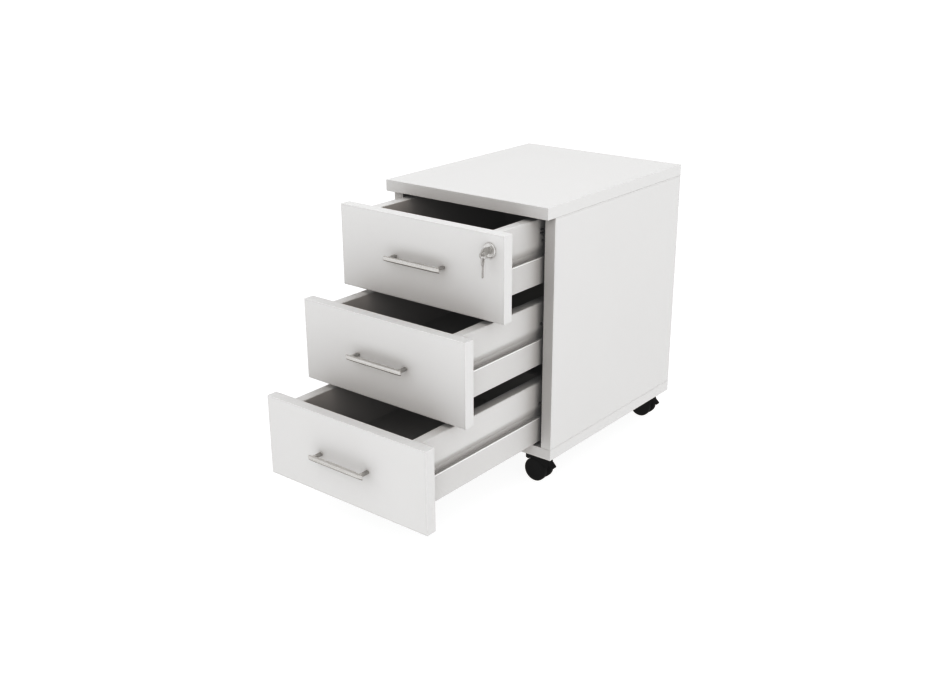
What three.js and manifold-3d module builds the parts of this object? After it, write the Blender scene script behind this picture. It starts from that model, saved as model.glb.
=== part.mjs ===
// Rolling pedestal cabinet: a 25 mm board carcass on four twin-wheel castors, three drawers with
// double-walled steel sides on full-extension concealed runners, and a lock in the upper drawer
// that works a locking bar on the inside of the right side panel.
// Millimetres, +Z up, +X to the right, the drawers open towards -Y.
// Origin: on the floor, under the centre of the overall outline with the drawers as modelled.
import * as THREE from 'three';
import { mergeVertices } from 'three/addons/utils/BufferGeometryUtils.js';
import Module from 'manifold-3d';

const wasm = await Module();
wasm.setup();

// ---------------------------------------------------------------- driving dimensions
const WIDTH = 430;             // carcass and drawer fronts
const DEPTH = 502;             // side panels and base panel
const BOARD = 25;              // board thickness of the carcass and of the drawer fronts
const TOP_OVERHANG = 26;       // top panel ahead of the sides, flush with the closed fronts
const BODY_HEIGHT = 559;       // underside of the base panel to the top surface
const BACK_PANEL_T = 12;
const BACK_INSET = 2;          // back panel set in from the rear edges
const HALF = WIDTH / 2;
const INNER = HALF - BOARD;    // inner face of a side panel

const FRONT_H = 176.5;         // height of each drawer front
const FRONT_PITCH = FRONT_H + 2;
const FRONT_Z0 = -0.5;         // bottom edge of the lower drawer front
const FRONT_FACE = -TOP_OVERHANG;        // outer face of a closed drawer front
const FRONT_REAR = FRONT_FACE + BOARD;
const FACE_GAP = 0.1;          // handles and lock flange stand off the front face by this
const DRAWERS = [              // from the bottom up; open: how far each drawer stands out
  { name: 'lower', open: 376.5 },
  { name: 'middle', open: 259.5 },
  { name: 'upper', open: 141 },
];
const SIDES = [['left', -1], ['right', 1]];   // name, sign of x
const frontBottom = (row) => FRONT_Z0 + row * FRONT_PITCH;

const HANDLE_PROJ = 28;        // handle's reach ahead of the front face
const WHEEL_R = 26.5;
const WHEEL_Z = -37.5;         // axle below the base panel

const LOCK_X = 180;
const LOCK_Z = frontBottom(2) + 143.5;
const LOCK_BODY_R = 9;

// how far the lower drawer's handle stands ahead of the side panels' front edges
const FORWARD_REACH = TOP_OVERHANG + DRAWERS[0].open + FACE_GAP + HANDLE_PROJ;

// ---------------------------------------------------------------- materials
const WHITE_BOARD = { color: 0xf0f0ee, roughness: 0.55, metalness: 0 };
const WHITE_STEEL = { color: 0xeeeeec, roughness: 0.4, metalness: 0.15 };
const GREY_BOARD = { color: 0xbcb8b6, roughness: 0.7, metalness: 0 };
const ZINC = { color: 0xb9bcbd, roughness: 0.35, metalness: 0.9 };
const SATIN_NICKEL = { color: 0xc9cacb, roughness: 0.28, metalness: 1 };
const BLACK_NYLON = { color: 0x121212, roughness: 0.5, metalness: 0 };
const BLACK_STEEL = { color: 0x1a1a1b, roughness: 0.45, metalness: 0.6 };

// ---------------------------------------------------------------- solids
// Weld the vertices, drop collapsed triangles and turn the faces outward.
function toSolid(geometry) {
  geometry.deleteAttribute('normal');
  geometry.deleteAttribute('uv');
  const welded = mergeVertices(geometry, 1e-4);
  const { position } = welded.attributes;
  const index = welded.index.array;
  const corner = (i) => new THREE.Vector3().fromBufferAttribute(position, i);
  const kept = [];
  let volume = 0;
  for (let t = 0; t < index.length; t += 3) {
    const [a, b, c] = index.slice(t, t + 3);
    if (a === b || b === c || a === c) continue;
    kept.push(a, b, c);
    volume += corner(a).dot(corner(b).cross(corner(c))) / 6;
  }
  if (volume < 0) {
    for (let t = 0; t < kept.length; t += 3) {
      [kept[t + 1], kept[t + 2]] = [kept[t + 2], kept[t + 1]];
    }
  }
  return new wasm.Manifold(new wasm.Mesh({
    numProp: 3,
    vertProperties: new Float32Array(position.array),
    triVerts: new Uint32Array(kept),
  }));
}

function toGeometry(solid) {
  const mesh = solid.getMesh();
  const geometry = new THREE.BufferGeometry();
  const positions = new Float32Array(mesh.vertProperties);
  geometry.setAttribute('position', new THREE.BufferAttribute(positions, 3));
  geometry.setIndex(new THREE.BufferAttribute(new Uint32Array(mesh.triVerts), 1));
  geometry.computeVertexNormals();
  return geometry;
}

// move every vertex to the place that map gives for it
function remap(geometry, map) {
  const { position } = geometry.attributes;
  for (let i = 0; i < position.count; i++) {
    position.setXYZ(i, ...map(position.getX(i), position.getY(i), position.getZ(i)));
  }
  return geometry;
}

function block(x0, x1, y0, y1, z0, z1) {
  const box = new THREE.BoxGeometry(x1 - x0, y1 - y0, z1 - z0);
  return toSolid(box.translate((x0 + x1) / 2, (y0 + y1) / 2, (z0 + z1) / 2));
}

function extrude(points, depth, holes = []) {
  const vectors = (outline) => outline.map(([u, v]) => new THREE.Vector2(u, v));
  const shape = new THREE.Shape(vectors(points));
  for (const hole of holes) shape.holes.push(new THREE.Path(vectors(hole)));
  return new THREE.ExtrudeGeometry(shape, { depth, bevelEnabled: false });
}

// prisms: a YZ outline swept along X, an XZ outline along Y, an XY outline along Z
const prismX = (points, x0, x1, holes) =>
  toSolid(remap(extrude(points, x1 - x0, holes), (u, v, w) => [x0 + w, u, v]));
const prismY = (points, y0, y1, holes) =>
  toSolid(remap(extrude(points, y1 - y0, holes), (u, v, w) => [u, y1 - w, v]));
const prismZ = (points, z0, z1) =>
  toSolid(extrude(points, z1 - z0).translate(0, 0, z0));

const lathe = (profile, segments) =>
  new THREE.LatheGeometry(profile.map(([r, along]) => new THREE.Vector2(r, along)), segments);

// a shape turned about a line along Y through (x, z); the profile is [radius, y]
const turnedY = (profile, x, z, segments) => toSolid(lathe(profile, segments).translate(x, 0, z));

const rodProfile = (r, from, to) => [[0, from], [r, from], [r, to], [0, to]];
const rodY = (r, x, z, y0, y1, segments) => turnedY(rodProfile(r, y0, y1), x, z, segments);
const rodZ = (r, z0, z1, segments) =>
  toSolid(remap(lathe(rodProfile(r, z0, z1), segments), (x, y, z) => [x, -z, y]));

const circle = (cx, cy, r, count) => Array.from({ length: count }, (_, i) => {
  const angle = (Math.PI * 2 * i) / count;
  return [cx + r * Math.cos(angle), cy + r * Math.sin(angle)];
});
const shift = (points, du, dv) => points.map(([u, v]) => [u + du, v + dv]);
// an outline mirrored to the other side of u = 0, run backwards so that it joins on
const mirrored = (points) => points.map(([u, v]) => [-u, v]).reverse();
// an XZ outline of the right side, put on either side and raised by z
const onSide = (points, sign, z) => points.map(([px, pz]) => [sign * px, z + pz]);

function add(parent, name, solid, finish) {
  const mesh = new THREE.Mesh(toGeometry(solid), new THREE.MeshStandardMaterial(finish));
  mesh.name = name;
  parent.add(mesh);
}

const cabinet = new THREE.Group();
const body = new THREE.Group();
// In this group y = 0 is the side panels' front edge and z = 0 the base panel's underside.
body.position.set(0, -(DEPTH - FORWARD_REACH) / 2, WHEEL_R - WHEEL_Z);
cabinet.add(body);

// ---------------------------------------------------------------- carcass
const TOP_UNDER = BODY_HEIGHT - BOARD;
const BACK_REAR = DEPTH - BACK_INSET;
for (const [name, ...extents] of [
  // name, x0, x1, y0, y1, z0, z1
  ['top_panel', -HALF, HALF, -TOP_OVERHANG, DEPTH, TOP_UNDER, BODY_HEIGHT],
  ['base_panel', -HALF, HALF, 0, DEPTH, 0, BOARD],
  ['left_side_panel', -HALF, -INNER, 0, DEPTH, BOARD, TOP_UNDER],
  ['right_side_panel', INNER, HALF, 0, DEPTH, BOARD, TOP_UNDER],
  ['back_panel', -INNER, INNER, BACK_REAR - BACK_PANEL_T, BACK_REAR, BOARD, TOP_UNDER],
]) add(body, name, block(...extents), WHITE_BOARD);

// ---------------------------------------------------------------- drawers
// Heights here are measured from the bottom edge of the drawer front.
const SIDE_LEN = 470;
const SIDE_REAR = FRONT_REAR + SIDE_LEN;
const SKIN = 1.2;              // sheet thickness of the drawer sides
const SIDE_IN = 148.5;         // inner face of a drawer side
const SIDE_OUT = 172.5;        // outer face above the ledge
const WAIST = 165.2;           // outer face just above the ledge, where the side is drawn in
const BAND_OUT = 178.5;        // outer face of the runner housing below the ledge
const SIDE_TOP = 168.5;
const SIDE_CHAMFER = 1.5;
const LEDGE_Z = 86.5;
const LIP_Z = 90.2;            // rolled lip along the outer edge of the ledge
const BAND_Z = 33.5;
const SHELF_Z = 67;            // underside of the runner channel
const GUIDE_Z = 54;            // bottom of the guide lips
const GUIDE_IN = 154;          // inner face of the inner guide lip
const GUIDE_OUT = 173;         // outer face of the outer guide lip
const FLOOR_Z = 37;            // underside of the drawer floor
const FLOOR_T = 16;
const FLOOR_FLANGE_Z = FLOOR_Z - 2.4;   // underside of the flange below the floor
const FLOOR_FLANGE_X = 142;    // free edge of that flange
const FLOOR_GAP = 0.3;         // floor to the front and to the back
const FLOOR_HALF = SIDE_IN - 0.4;
const BACK_T = 16;
const BACK_H = 98;             // height of the drawer back above the floor

// Right drawer side in section, x and height: two skins joined at the top, a ledge with a rolled
// lip half way down, a wider runner housing open underneath, and a shelf with two guide lips.
const SIDE_OUTLINE = [
  [SIDE_IN + SIDE_CHAMFER, SIDE_TOP], [SIDE_OUT - SIDE_CHAMFER, SIDE_TOP],
  [SIDE_OUT, SIDE_TOP - SIDE_CHAMFER], [SIDE_OUT, 117], [169.6, 109.5], [165.9, 99.8],
  [WAIST, 96], [WAIST, LEDGE_Z], [176, LEDGE_Z], [176, LIP_Z - 0.8], [176.8, LIP_Z],
  [177.7, LIP_Z], [BAND_OUT, LIP_Z - 0.8], [BAND_OUT, BAND_Z],
  [BAND_OUT - SKIN, BAND_Z], [BAND_OUT - SKIN, SHELF_Z],
  [GUIDE_OUT, SHELF_Z], [GUIDE_OUT, GUIDE_Z],
  [GUIDE_OUT - SKIN, GUIDE_Z], [GUIDE_OUT - SKIN, SHELF_Z],
  [GUIDE_IN + SKIN, SHELF_Z], [GUIDE_IN + SKIN, GUIDE_Z],
  [GUIDE_IN, GUIDE_Z], [GUIDE_IN, SHELF_Z],
  [SIDE_IN + SKIN, SHELF_Z], [SIDE_IN + SKIN, FLOOR_FLANGE_Z],
  [FLOOR_FLANGE_X, FLOOR_FLANGE_Z], [FLOOR_FLANGE_X, FLOOR_FLANGE_Z + SKIN],
  [SIDE_IN, FLOOR_FLANGE_Z + SKIN], [SIDE_IN, SIDE_TOP - SIDE_CHAMFER],
];
const SIDE_HOLLOW = [
  [SIDE_IN + SKIN, SHELF_Z + SKIN], [BAND_OUT - SKIN, SHELF_Z + SKIN],
  [BAND_OUT - SKIN, LEDGE_Z - SKIN], [WAIST - SKIN, LEDGE_Z - SKIN], [WAIST - SKIN, 96.1],
  [164.75, 100.2], [168.45, 109.9], [SIDE_OUT - SKIN, 117.2],
  [SIDE_OUT - SKIN, SIDE_TOP - SKIN], [SIDE_IN + SKIN, SIDE_TOP - SKIN],
];

function drawerFront(z, hasLock) {
  const front = block(-HALF, HALF, FRONT_FACE, FRONT_REAR, z, z + FRONT_H);
  if (!hasLock) return front;
  const holeR = LOCK_BODY_R + 0.2;
  return front.subtract(rodY(holeR, LOCK_X, LOCK_Z, FRONT_FACE - 5, FRONT_REAR + 5, 40));
}

function drawerSide(sign, z) {
  const hollow = onSide(SIDE_HOLLOW, sign, z);
  const wall = prismY(onSide(SIDE_OUTLINE, sign, z), FRONT_REAR, SIDE_REAR, [hollow]);
  if (sign < 0) return wall;
  // the lug that the locking bar holds
  return wall.add(block(
    SIDE_OUT - 0.6, SIDE_OUT + 13, FRONT_REAR + 9, FRONT_REAR + 13, z + 118, z + 123,
  ));
}

const drawerFloor = (z) => block(
  -FLOOR_HALF, FLOOR_HALF, FRONT_REAR + FLOOR_GAP, SIDE_REAR - BACK_T - FLOOR_GAP,
  z + FLOOR_Z, z + FLOOR_Z + FLOOR_T,
);

const drawerBack = (z) => block(
  -FLOOR_HALF, FLOOR_HALF, SIDE_REAR - BACK_T, SIDE_REAR,
  z + FLOOR_Z, z + FLOOR_Z + FLOOR_T + BACK_H,
);

// Bow handle: a slim bar whose ends sweep back towards the drawer front, on two legs.
// Outlines of half the bar in plan: x, and distance ahead of the face.
const HANDLE_SPACING = 128;    // distance between the two legs
const HANDLE_H = 9.5;
const HANDLE_END = 148 / 2;    // half the handle's length
const HANDLE_OUTER_LEFT = [
  [-HANDLE_END, HANDLE_PROJ - 7.5], [-HANDLE_END + 3, HANDLE_PROJ - 4.6],
  [-HANDLE_END + 9, HANDLE_PROJ - 2], [-HANDLE_END + 20, HANDLE_PROJ - 0.5],
  [-HANDLE_END + 34, HANDLE_PROJ],
];
const HANDLE_INNER_RIGHT = [
  [HANDLE_END - 0.8, HANDLE_PROJ - 9.2], [HANDLE_END - 8, HANDLE_PROJ - 8.6],
  [HANDLE_END - 30, HANDLE_PROJ - 8],
];

function handle(z) {
  const seatY = FRONT_FACE - FACE_GAP;
  const outline = [
    ...HANDLE_OUTER_LEFT, ...mirrored(HANDLE_OUTER_LEFT),
    ...HANDLE_INNER_RIGHT, ...mirrored(HANDLE_INNER_RIGHT),
  ].map(([x, ahead]) => [x, seatY - ahead]);
  const leg = (x) => block(x - 5, x + 5, seatY - HANDLE_PROJ + 6, seatY, z - 4, z + 4);
  return prismZ(outline, z - HANDLE_H / 2, z + HANDLE_H / 2)
    .add(leg(-HANDLE_SPACING / 2))
    .add(leg(HANDLE_SPACING / 2));
}

// ---------------------------------------------------------------- runners
const CABINET_RAIL_Y = 22;     // front end of the cabinet rail behind the carcass front edge
const CABINET_RAIL_LEN = 450;
const EXTENSION_RAIL_LEN = 430;

// Cabinet rail: its flange lies along the side panel, it passes under the runner housing and
// turns up inside it as a channel.
function cabinetRail(sign, z) {
  const sheet = 1.6;
  const flangeX = INNER - 0.2;
  const [channelIn, channelOut] = [154.4, 172.6];
  const [bottom, channelTop, flangeTop] = [29, 44, 60];
  const web = bottom + sheet;
  const outline = [
    [flangeX, flangeTop], [flangeX - sheet, flangeTop], [flangeX - sheet, web],
    [channelOut, web], [channelOut, channelTop],
    [channelOut - sheet, channelTop], [channelOut - sheet, web],
    [channelIn + sheet, web], [channelIn + sheet, channelTop],
    [channelIn, channelTop], [channelIn, bottom], [flangeX, bottom],
  ];
  return prismY(onSide(outline, sign, z), CABINET_RAIL_Y, CABINET_RAIL_Y + CABINET_RAIL_LEN);
}

// Extension rail: an inverted channel that runs in the cabinet rail, at half the drawer's travel.
function extensionRail(sign, z, open) {
  const sheet = 2;
  const [xIn, xOut] = [157.2, 169.8];
  const [bottom, top] = [31.6, 66.4];
  const outline = [
    [xIn, bottom], [xIn + sheet, bottom], [xIn + sheet, top - sheet],
    [xOut - sheet, top - sheet], [xOut - sheet, bottom], [xOut, bottom],
    [xOut, top], [xIn, top],
  ];
  const y0 = CABINET_RAIL_Y - open / 2;
  return prismY(onSide(outline, sign, z), y0, y0 + EXTENSION_RAIL_LEN);
}

// ---------------------------------------------------------------- lock and keys
const FLANGE_R = 15;
const CORE_R = 6;
const PIN_OFFSET = 4.4;        // rear pin from the lock axis
const BOW_Y = FRONT_FACE - 4.2;          // where the key's bow starts
const BOW_HOLE_Y = BOW_Y - 17.5;
const RING_R = 7.6;            // split ring, to the centre of its wire
const RING_WIRE_R = 0.8;
const RING_Z = LOCK_Z - RING_R + 1.2;

// Lower half of the key's bow: z, and y from the start of the bow.
const BOW_LOWER = [[-3.4, 0], [-7.4, -3], [-8.2, -8], [-8.2, -17], [-6, -21.5]];
// Spare key: y from the bow hole, z from the bottom of the ring.
const SPARE_OUTLINE = [
  [-3.4, 3.6], [-5.4, 0], [-5.4, -7], [-2.7, -10.5], [-2.7, -33], [-1, -35.5],
  [1.5, -35.5], [2.7, -33], [2.7, -10.5], [5.4, -7], [5.4, 0], [3.4, 3.6],
];

// a round flange on the face and a sleeve through the board
function lockHousing() {
  const boreR = CORE_R + 0.25;
  const flangeFace = FRONT_FACE - 3.2;
  const flangeRear = FRONT_FACE - FACE_GAP;
  return turnedY([
    [boreR, flangeFace], [FLANGE_R - 2.2, flangeFace], [FLANGE_R, FRONT_FACE - 1.6],
    [FLANGE_R, flangeRear], [LOCK_BODY_R, flangeRear], [LOCK_BODY_R, FRONT_REAR],
    [boreR, FRONT_REAR], [boreR, flangeFace],
  ], LOCK_X, LOCK_Z, 48);
}

// the plug that the key turns, with an off-centre pin at the rear
function lockCore() {
  const slotHalfW = 1.3;
  const slotHalfH = 4.3;
  const slot = block(
    LOCK_X - slotHalfW, LOCK_X + slotHalfW, FRONT_FACE - 6, FRONT_FACE + 20,
    LOCK_Z - slotHalfH, LOCK_Z + slotHalfH,
  );
  return rodY(CORE_R, LOCK_X, LOCK_Z, FRONT_FACE - 3.6, FRONT_REAR - 0.5, 40)
    .subtract(slot)
    .add(rodY(4.5, LOCK_X, LOCK_Z, FRONT_REAR - 1, FRONT_REAR + 2, 32))
    .add(rodY(6.4, LOCK_X, LOCK_Z, FRONT_REAR + 1.5, FRONT_REAR + 4.5, 32))
    .add(rodY(1.8, LOCK_X + PIN_OFFSET, LOCK_Z, FRONT_REAR + 4, FRONT_REAR + 12, 20));
}

// blade in the plug, flat bow outside
function key() {
  const bowOutline = [...BOW_LOWER, [0, -23], ...mirrored(BOW_LOWER)]
    .map(([z, y]) => [BOW_Y + y, LOCK_Z + z]);
  const bladeOutline = shift([
    [BOW_Y - 1, -3.4], [FRONT_FACE + 14, -3.4], [FRONT_FACE + 17, -1],
    [FRONT_FACE + 17, 1.5], [FRONT_FACE + 15, 3.4], [BOW_Y - 1, 3.4],
  ], 0, LOCK_Z);
  const hole = circle(BOW_HOLE_Y, LOCK_Z, 3, 16);
  return prismX(bowOutline, LOCK_X - 1.1, LOCK_X + 1.1, [hole])
    .add(prismX(bladeOutline, LOCK_X - 0.9, LOCK_X + 0.9));
}

// Spare key hanging from the key's bow by a split ring; the bottom of the ring overlaps the top
// of the spare key's bow hole.
function spareKey() {
  const ringBottom = RING_Z - RING_R - RING_WIRE_R;
  const wire = circle(RING_R, BOW_HOLE_Y, RING_WIRE_R, 8);
  wire.push([RING_R + RING_WIRE_R, BOW_HOLE_Y]);   // closes the circle
  const outline = shift(SPARE_OUTLINE, BOW_HOLE_Y, ringBottom);
  const hole = circle(BOW_HOLE_Y, ringBottom - 0.8, 2.1, 14);
  return prismX(outline, LOCK_X - 1, LOCK_X + 1, [hole])
    .add(turnedY(wire, LOCK_X, RING_Z, 28));
}

// A flat bar on the inside of the right side panel. It drops by PIN_OFFSET when the lock is
// turned, and its tabs then stand in front of the drawers' lugs. The fork at the top takes the
// lock's rear pin.
function lockingBar() {
  const outerX = INNER - 0.3;
  let bar = block(INNER - 3.2, outerX, 2, 20, 60, 522);
  for (let row = 0; row < DRAWERS.length; row++) {
    const z = frontBottom(row);
    bar = bar.add(block(INNER - 9.5, outerX, 2, 6, z + 124, z + 129));
  }
  const prong = (z0, z1) => block(INNER - 15.5, outerX, 5.5, 12, LOCK_Z + z0, LOCK_Z + z1);
  return bar.add(prong(2.2, 5)).add(prong(-5, -2.2));
}

DRAWERS.forEach(({ name, open }, row) => {
  const z = frontBottom(row);
  const hasLock = name === 'upper';
  const drawer = new THREE.Group();    // built at its closed place, moved out by its opening
  drawer.position.y = -open;
  body.add(drawer);
  add(drawer, `${name}_drawer_front`, drawerFront(z, hasLock), WHITE_BOARD);
  for (const [side, sign] of SIDES) {
    add(drawer, `${name}_drawer_${side}_side`, drawerSide(sign, z), WHITE_STEEL);
  }
  add(drawer, `${name}_drawer_floor`, drawerFloor(z), GREY_BOARD);
  add(drawer, `${name}_drawer_back`, drawerBack(z), GREY_BOARD);
  add(drawer, `${name}_drawer_handle`, handle(z + FRONT_H / 2), SATIN_NICKEL);
  for (const [side, sign] of SIDES) {
    add(body, `${name}_${side}_cabinet_rail`, cabinetRail(sign, z), ZINC);
    add(body, `${name}_${side}_extension_rail`, extensionRail(sign, z, open), ZINC);
  }
  if (hasLock) {
    add(drawer, 'lock_housing', lockHousing(), SATIN_NICKEL);
    add(drawer, 'lock_core', lockCore(), SATIN_NICKEL);
    add(drawer, 'key', key(), SATIN_NICKEL);
    add(drawer, 'spare_key', spareKey(), SATIN_NICKEL);
  }
});
add(body, 'locking_bar', lockingBar(), ZINC);

// ---------------------------------------------------------------- castors
// Each castor is built about its swivel axis, below z = 0, with the wheels trailing to -X.
const CASTOR_X = 178;          // swivel axes
const CASTOR_ROWS = [['front', 26], ['rear', DEPTH - 34]];   // name, y
const TRAIL = -9.5;            // axle offset from the swivel axis
const WHEEL_IN = 6.4;          // wheel faces, from the castor's centre plane
const WHEEL_OUT = 18;
const AXLE_R = 4;
const STEM_R = 4;
const WEB_HALF = 6;            // half the thickness of the web between the wheels
const BRAKE_PIVOT = [14, -10.5];         // x, z

// Side outlines: x, z.
const COVER_OUTLINE = [
  [-31, -3.3], [30, -3.3], [31.6, -9], [33, -16], [32.4, -24], [28, -31], [-31, -12],
];
const WEB_OUTLINE = [
  [-24, -4], [20, -4], [20, -20], [8, -46], [0, -52], [-18, -52], [-27, -44], [-29, -32],
];
const BRAKE_OUTLINE = [
  [10.4, -8], [16, -7], [23, -9.8], [26.4, -13], [28.6, -17], [32.2, -26.4], [31.9, -28.4],
  [30, -28.8], [25.6, -24.6], [22.4, -25.2], [18.4, -25], [17.4, -23], [16, -15], [10.8, -13],
];

function castorHood() {
  // what lies outside the nose, which is round in plan about the swivel axis
  const noseWaste = block(0, 45, -30, 30, -60, 5).subtract(rodZ(25, -70, 10, 48));
  const wheelArch = (y0, y1) => rodY(28.2, TRAIL, WHEEL_Z, y0, y1, 36);
  const brakeSlot = block(8.5, 45, -8.8, 8.8, -60, -5.5);
  return prismY(COVER_OUTLINE, -20, 20)
    .subtract(noseWaste)
    .subtract(wheelArch(WEB_HALF, 30))
    .subtract(wheelArch(-30, -WEB_HALF))
    .add(prismY(WEB_OUTLINE, -WEB_HALF, WEB_HALF))
    .subtract(brakeSlot)
    .subtract(rodZ(STEM_R + 0.3, -23, 5, 20))
    .subtract(rodY(2.3, ...BRAKE_PIVOT, -13, 13, 12))
    .add(rodY(AXLE_R, TRAIL, WHEEL_Z, -15.8, 15.8, 20));
}

function castorWheel(sign) {
  const boreR = AXLE_R + 0.25;
  const boreEnd = 16.2;
  const profile = [
    [0, WHEEL_OUT - 1], [15.5, WHEEL_OUT - 1], [17, WHEEL_OUT], [24, WHEEL_OUT],
    [WHEEL_R, WHEEL_OUT - 2.6], [WHEEL_R, WHEEL_IN + 1.4], [WHEEL_R - 1.4, WHEEL_IN],
    [boreR, WHEEL_IN], [boreR, boreEnd], [0, boreEnd],
  ].map(([r, y]) => [r, sign * y]);
  return turnedY(profile, TRAIL, WHEEL_Z, 32);
}

const castorBrake = () =>
  prismY(BRAKE_OUTLINE, -8.3, 8.3).add(rodY(2, ...BRAKE_PIVOT, -12.6, 12.6, 12));

// a square plate with cut corners, on the swivel stem
function castorPlate() {
  const half = 21;
  const cut = half - 4;
  const plate = prismZ([
    [-cut, -half], [cut, -half], [half, -cut], [half, cut],
    [cut, half], [-cut, half], [-half, cut], [-half, -cut],
  ], -2.7, -0.2);
  return plate.add(rodZ(STEM_R, -22, -1, 20));
}

for (const [end, y] of CASTOR_ROWS) {
  for (const [side, sign] of SIDES) {
    const castor = new THREE.Group();
    castor.position.set(sign * CASTOR_X, y, 0);
    castor.rotation.z = sign < 0 ? Math.PI : 0;
    body.add(castor);
    const name = `${end}_${side}_castor`;
    add(castor, `${name}_plate`, castorPlate(), BLACK_STEEL);
    add(castor, `${name}_hood`, castorHood(), BLACK_NYLON);
    add(castor, `${name}_wheel_a`, castorWheel(-1), BLACK_NYLON);
    add(castor, `${name}_wheel_b`, castorWheel(1), BLACK_NYLON);
    add(castor, `${name}_brake_lever`, castorBrake(), BLACK_NYLON);
  }
}

export default cabinet;
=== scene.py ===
"""Rolling pedestal cabinet with three drawers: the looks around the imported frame.

Row frame: metres, +Z up, +X to the right, the drawers open towards -Y. Lengths are millimetres
until a mesh is made; materials, modifiers, lights and camera work in metres.
"""
import math

import bmesh
import bpy
from mathutils import Matrix, Vector


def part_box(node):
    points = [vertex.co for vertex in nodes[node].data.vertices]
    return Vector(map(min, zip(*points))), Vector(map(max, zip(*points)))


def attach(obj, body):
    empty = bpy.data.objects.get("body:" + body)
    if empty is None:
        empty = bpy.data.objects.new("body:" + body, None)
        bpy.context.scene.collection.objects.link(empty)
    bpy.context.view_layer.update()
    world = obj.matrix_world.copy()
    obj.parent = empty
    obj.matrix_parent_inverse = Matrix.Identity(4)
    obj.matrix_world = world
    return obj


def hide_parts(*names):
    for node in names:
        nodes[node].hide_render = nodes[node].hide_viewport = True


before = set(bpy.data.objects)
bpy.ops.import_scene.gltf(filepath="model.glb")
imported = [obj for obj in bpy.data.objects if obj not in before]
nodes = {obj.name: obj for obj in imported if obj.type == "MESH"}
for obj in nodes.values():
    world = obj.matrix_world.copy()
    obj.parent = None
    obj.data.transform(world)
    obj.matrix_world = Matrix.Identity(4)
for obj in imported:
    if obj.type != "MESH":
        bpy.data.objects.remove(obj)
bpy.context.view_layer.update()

MM = 0.001
DRAWERS = ("lower", "middle", "upper")
SIDES = (("left", -1.0), ("right", 1.0))


def box_mm(name):
    low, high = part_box(name)
    return low * 1000, high * 1000


def add_object(name, data):
    added = bpy.data.objects.new(name, data)
    bpy.context.scene.collection.objects.link(added)
    return added


# ---------------------------------------------------------------------------- shader helpers
NOISE_SPAN = (0.3, 0.7)  # where most noise values lie


class Shader:
    """The node tree of a material or world; an input given as a socket is linked."""

    def __init__(self, owner):
        self.owner = owner
        owner.use_nodes = True
        self.tree = owner.node_tree
        self.tree.nodes.clear()

    def node(self, kind, inputs=None, **settings):
        made = self.tree.nodes.new("ShaderNode" + kind)
        for key, value in settings.items():
            setattr(made, key, value)
        for key, value in (inputs or {}).items():
            if isinstance(value, bpy.types.NodeSocket):
                self.tree.links.new(value, made.inputs[key])
            else:
                made.inputs[key].default_value = value
        return made

    def calc(self, operation, first, second=0.0):
        return self.node("Math", {0: first, 1: second}, operation=operation).outputs[0]

    def remap(self, value, span=NOISE_SPAN, to=(0.0, 1.0)):
        """Takes the span to the given range along an S-curve."""
        inputs = {"Value": value, "From Min": span[0], "From Max": span[1],
                  "To Min": to[0], "To Max": to[1]}
        return self.node("MapRange", inputs, interpolation_type="SMOOTHSTEP").outputs[0]

    def mix(self, factor, first, second):
        first, second = (c if isinstance(c, bpy.types.NodeSocket) else (*c, 1.0)
                         for c in (first, second))
        return self.node("Mix", {0: factor, 6: first, 7: second}, data_type="RGBA").outputs[2]

    def stain(self, tone, colour, mask, amount):
        """Lays a colour over the tone where the mask is high."""
        return self.mix(self.calc("MULTIPLY", mask, amount), tone, colour)

    def blend(self, first, second, share):
        """A weighted sum; share is the second value's part."""
        return self.calc("ADD", self.calc("MULTIPLY", first, 1 - share),
                         self.calc("MULTIPLY", second, share))

    def coords(self, stretch=(1, 1, 1), offset=(0, 0, 0)):
        place = self.node("TexCoord").outputs["Object"]
        inputs = {"Vector": place, "Location": offset, "Scale": stretch}
        return self.node("Mapping", inputs).outputs[0]

    def noise(self, coords, scale, detail=3.0, rough=0.5):
        inputs = {"Vector": coords, "Scale": scale, "Detail": detail, "Roughness": rough}
        return self.node("TexNoise", inputs).outputs[0]

    def bump(self, height, strength, distance, **below):
        inputs = {"Height": height, "Strength": strength, "Distance": distance, **below}
        return self.node("Bump", inputs).outputs[0]

    def surface(self, **inputs):
        named = {key.replace("_", " "): value for key, value in inputs.items()}
        shader = self.node("BsdfPrincipled", named)
        output = self.node("OutputMaterial", {"Surface": shader.outputs[0]})
        output.is_active_output = True
        return self.owner


def new_material(name):
    return Shader(bpy.data.materials.new(name))


def grey(value, warm=0.0):
    return (value * (1 + warm), value, value * (1 - warm))


def scaled(colour, factor):
    return tuple(c * factor for c in colour)


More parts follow.
